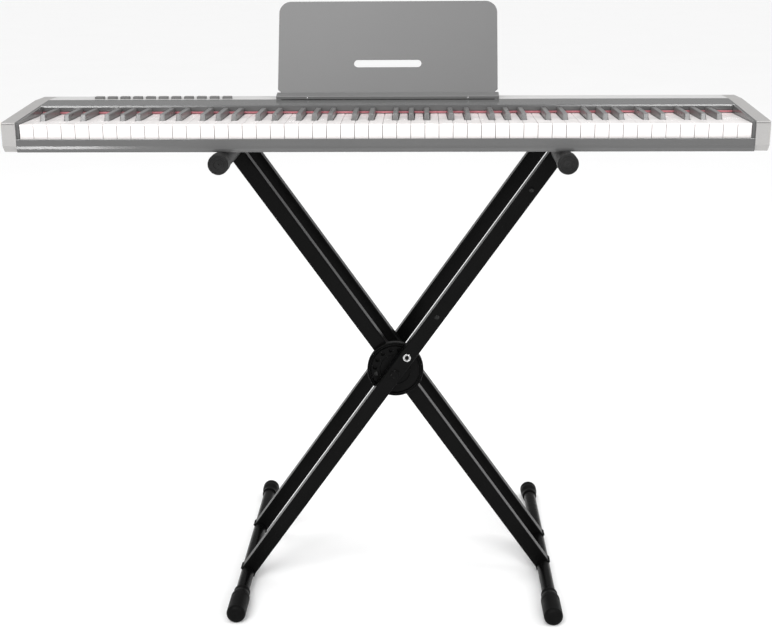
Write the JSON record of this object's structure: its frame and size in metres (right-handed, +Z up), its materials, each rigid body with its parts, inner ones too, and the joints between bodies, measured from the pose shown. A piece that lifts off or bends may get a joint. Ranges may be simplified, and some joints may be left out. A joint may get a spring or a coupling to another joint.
{
  "type": "digital piano on stand",
  "caption": "Slim digital piano with full-size keys, control buttons and a removable music rest, on a folding double-braced X stand with rubber grips and feet.",
  "frame": {"origin": "floor level, below the middle of the piano's width and of the base tubes' length", "axes": "+X along the keys to the treble end, +Y from the player to the back, +Z up"},
  "size_m": [1.28, 0.568, 1.0877],
  "materials": {
    "shell_grey": "satin",
    "cap_silver": "satin",
    "deck_silver": "satin",
    "key_white": "gloss",
    "key_black": "satin",
    "felt_red": "felt",
    "rest_grey": "satin",
    "button_dark": "matte",
    "board_green": "solder-masked board",
    "cone_black": "matte",
    "stand_black": "semi-gloss powder coat",
    "rubber_black": "matte",
    "chrome": "polished"
  },
  "bodies": {
    "stand_hub": {"pivot_bolt": "stand_black", "pivot_nut": "stand_black"},
    "frame_b": {"leg_b_front": "stand_black", "leg_b_rear": "stand_black", "arm_tube_right": "stand_black", "arm_grip_front_right": "rubber_black", "arm_grip_rear_right": "rubber_black", "arm_pad_right": "rubber_black", "base_tube_left": "stand_black", "foot_front_left": "rubber_black", "foot_rear_left": "rubber_black"},
    "frame_a": {"leg_a_front": "stand_black", "leg_a_rear": "stand_black", "arm_tube_left": "stand_black", "arm_grip_front_left": "rubber_black", "arm_grip_rear_left": "rubber_black", "arm_pad_left": "rubber_black", "base_tube_right": "stand_black", "foot_front_right": "rubber_black", "foot_rear_right": "rubber_black", "locking_disc": "stand_black"},
    "lock_pin": {"lock_pin": "chrome"},
    "piano": {"bottom_shell": "shell_grey", "front_rail": "shell_grey", "end_cap_left": "cap_silver", "end_cap_right": "cap_silver", "fascia": "shell_grey", "rear_deck": "deck_silver", "felt_strip": "felt_red", "speaker_left": "cone_black", "speaker_right": "cone_black", "main_board": "board_green", "power_inlet": "cone_black"},
    "music_rest": {"music_rest": "rest_grey"},
    "white_keys_1": {"white_keys_1": "key_white"},
    "white_keys_2": {"white_keys_2": "key_white"},
    "white_keys_3": {"white_keys_3": "key_white"},
    "white_keys_4": {"white_keys_4": "key_white"},
    "white_keys_5": {"white_keys_5": "key_white"},
    "white_keys_6": {"white_keys_6": "key_white"},
    "white_keys_7": {"white_keys_7": "key_white"},
    "black_keys_1": {"black_keys_1": "key_black"},
    "black_keys_2": {"black_keys_2": "key_black"},
    "black_keys_3": {"black_keys_3": "key_black"},
    "black_keys_4": {"black_keys_4": "key_black"},
    "black_keys_5": {"black_keys_5": "key_black"},
    "black_keys_6": {"black_keys_6": "key_black"},
    "black_keys_7": {"black_keys_7": "key_black"},
    "button_01": {"button_01": "button_dark"},
    "button_02": {"button_02": "button_dark"},
    "button_03": {"button_03": "button_dark"},
    "button_04": {"button_04": "button_dark"},
    "button_05": {"button_05": "button_dark"},
    "button_06": {"button_06": "button_dark"},
    "button_07": {"button_07": "button_dark"},
    "button_08": {"button_08": "button_dark"},
    "button_09": {"button_09": "button_dark"},
    "button_10": {"button_10": "button_dark"},
    "button_11": {"button_11": "button_dark"}
  },
  "joints": [
    {"name": "frame_b_fold", "type": "hinge", "parent": "stand_hub", "child": "frame_b", "pos_m": [0.017, -0.015, 0.4271], "axis": [0, -1, 0], "range_deg": [0, 31]},
    {"name": "frame_a_fold", "type": "hinge", "parent": "stand_hub", "child": "frame_a", "pos_m": [0.017, -0.015, 0.4271], "axis": [0, 1, 0], "range_deg": [0, 31]},
    {"name": "piano_lift", "type": "slide", "parent": "stand_hub", "child": "piano", "axis": [0, 0, 1], "range_m": [0, 0.1579]},
    {"name": "lock_pin_pull", "type": "slide", "parent": "frame_b", "child": "lock_pin", "axis": [0, -1, 0], "range_m": [0, 0.008], "stiffness_N_per_m": 400, "springref_m": -0.006},
    {"name": "music_rest_lift", "type": "slide", "parent": "piano", "child": "music_rest", "axis": [0, 0.4003, 0.9164], "range_m": [0, 0.012]},
    {"name": "white_keys_1_press", "type": "hinge", "parent": "piano", "child": "white_keys_1", "pos_m": [0, -0.044, 0.897], "axis": [1, 0, 0], "range_deg": [0, 3.3], "stiffness_Nm_per_rad": 4, "springref_deg": -8.59},
    {"name": "white_keys_2_press", "type": "hinge", "parent": "piano", "child": "white_keys_2", "pos_m": [0, -0.044, 0.897], "axis": [1, 0, 0], "range_deg": [0, 3.3], "stiffness_Nm_per_rad": 4, "springref_deg": -8.59},
    {"name": "white_keys_3_press", "type": "hinge", "parent": "piano", "child": "white_keys_3", "pos_m": [0, -0.044, 0.897], "axis": [1, 0, 0], "range_deg": [0, 3.3], "stiffness_Nm_per_rad": 4, "springref_deg": -8.59},
    {"name": "white_keys_4_press", "type": "hinge", "parent": "piano", "child": "white_keys_4", "pos_m": [0, -0.044, 0.897], "axis": [1, 0, 0], "range_deg": [0, 3.3], "stiffness_Nm_per_rad": 4, "springref_deg": -8.59},
    {"name": "white_keys_5_press", "type": "hinge", "parent": "piano", "child": "white_keys_5", "pos_m": [0, -0.044, 0.897], "axis": [1, 0, 0], "range_deg": [0, 3.3], "stiffness_Nm_per_rad": 4, "springref_deg": -8.59},
    {"name": "white_keys_6_press", "type": "hinge", "parent": "piano", "child": "white_keys_6", "pos_m": [0, -0.044, 0.897], "axis": [1, 0, 0], "range_deg": [0, 3.3], "stiffness_Nm_per_rad": 4, "springref_deg": -8.59},
    {"name": "white_keys_7_press", "type": "hinge", "parent": "piano", "child": "white_keys_7", "pos_m": [0, -0.044, 0.897], "axis": [1, 0, 0], "range_deg": [0, 3.3], "stiffness_Nm_per_rad": 4, "springref_deg": -8.59},
    {"name": "black_keys_1_press", "type": "hinge", "parent": "piano", "child": "black_keys_1", "pos_m": [0, -0.044, 0.897], "axis": [1, 0, 0], "range_deg": [0, 3.3], "stiffness_Nm_per_rad": 3, "springref_deg": -6.88},
    {"name": "black_keys_2_press", "type": "hinge", "parent": "piano", "child": "black_keys_2", "pos_m": [0, -0.044, 0.897], "axis": [1, 0, 0], "range_deg": [0, 3.3], "stiffness_Nm_per_rad": 3, "springref_deg": -6.88},
    {"name": "black_keys_3_press", "type": "hinge", "parent": "piano", "child": "black_keys_3", "pos_m": [0, -0.044, 0.897], "axis": [1, 0, 0], "range_deg": [0, 3.3], "stiffness_Nm_per_rad": 3, "springref_deg": -6.88},
    {"name": "black_keys_4_press", "type": "hinge", "parent": "piano", "child": "black_keys_4", "pos_m": [0, -0.044, 0.897], "axis": [1, 0, 0], "range_deg": [0, 3.3], "stiffness_Nm_per_rad": 3, "springref_deg": -6.88},
    {"name": "black_keys_5_press", "type": "hinge", "parent": "piano", "child": "black_keys_5", "pos_m": [0, -0.044, 0.897], "axis": [1, 0, 0], "range_deg": [0, 3.3], "stiffness_Nm_per_rad": 3, "springref_deg": -6.88},
    {"name": "black_keys_6_press", "type": "hinge", "parent": "piano", "child": "black_keys_6", "pos_m": [0, -0.044, 0.897], "axis": [1, 0, 0], "range_deg": [0, 3.3], "stiffness_Nm_per_rad": 3, "springref_deg": -6.88},
    {"name": "black_keys_7_press", "type": "hinge", "parent": "piano", "child": "black_keys_7", "pos_m": [0, -0.044, 0.897], "axis": [1, 0, 0], "range_deg": [0, 3.3], "stiffness_Nm_per_rad": 3, "springref_deg": -6.88},
    {"name": "button_01_press", "type": "slide", "parent": "piano", "child": "button_01", "axis": [0, 0, -1], "range_m": [0, 0.0015], "stiffness_N_per_m": 300, "springref_m": -0.002},
    {"name": "button_02_press", "type": "slide", "parent": "piano", "child": "button_02", "axis": [0, 0, -1], "range_m": [0, 0.0015], "stiffness_N_per_m": 300, "springref_m": -0.002},
    {"name": "button_03_press", "type": "slide", "parent": "piano", "child": "button_03", "axis": [0, 0, -1], "range_m": [0, 0.0015], "stiffness_N_per_m": 300, "springref_m": -0.002},
    {"name": "button_04_press", "type": "slide", "parent": "piano", "child": "button_04", "axis": [0, 0, -1], "range_m": [0, 0.0015], "stiffness_N_per_m": 300, "springref_m": -0.002},
    {"name": "button_05_press", "type": "slide", "parent": "piano", "child": "button_05", "axis": [0, 0, -1], "range_m": [0, 0.0015], "stiffness_N_per_m": 300, "springref_m": -0.002},
    {"name": "button_06_press", "type": "slide", "parent": "piano", "child": "button_06", "axis": [0, 0, -1], "range_m": [0, 0.0015], "stiffness_N_per_m": 300, "springref_m": -0.002},
    {"name": "button_07_press", "type": "slide", "parent": "piano", "child": "button_07", "axis": [0, 0, -1], "range_m": [0, 0.0015], "stiffness_N_per_m": 300, "springref_m": -0.002},
    {"name": "button_08_press", "type": "slide", "parent": "piano", "child": "button_08", "axis": [0, 0, -1], "range_m": [0, 0.0015], "stiffness_N_per_m": 300, "springref_m": -0.002},
    {"name": "button_09_press", "type": "slide", "parent": "piano", "child": "button_09", "axis": [0, 0, -1], "range_m": [0, 0.0015], "stiffness_N_per_m": 300, "springref_m": -0.002},
    {"name": "button_10_press", "type": "slide", "parent": "piano", "child": "button_10", "axis": [0, 0, -1], "range_m": [0, 0.0015], "stiffness_N_per_m": 300, "springref_m": -0.002},
    {"name": "button_11_press", "type": "slide", "parent": "piano", "child": "button_11", "axis": [0, 0, -1], "range_m": [0, 0.0015], "stiffness_N_per_m": 300, "springref_m": -0.002}
  ],
  "couplings": [
    {"joint": "frame_a_fold", "follows": "frame_b_fold", "ratio": 1},
    {"joint": "piano_lift", "follows": "frame_b_fold", "m_per_rad": 0.291}
  ]
}
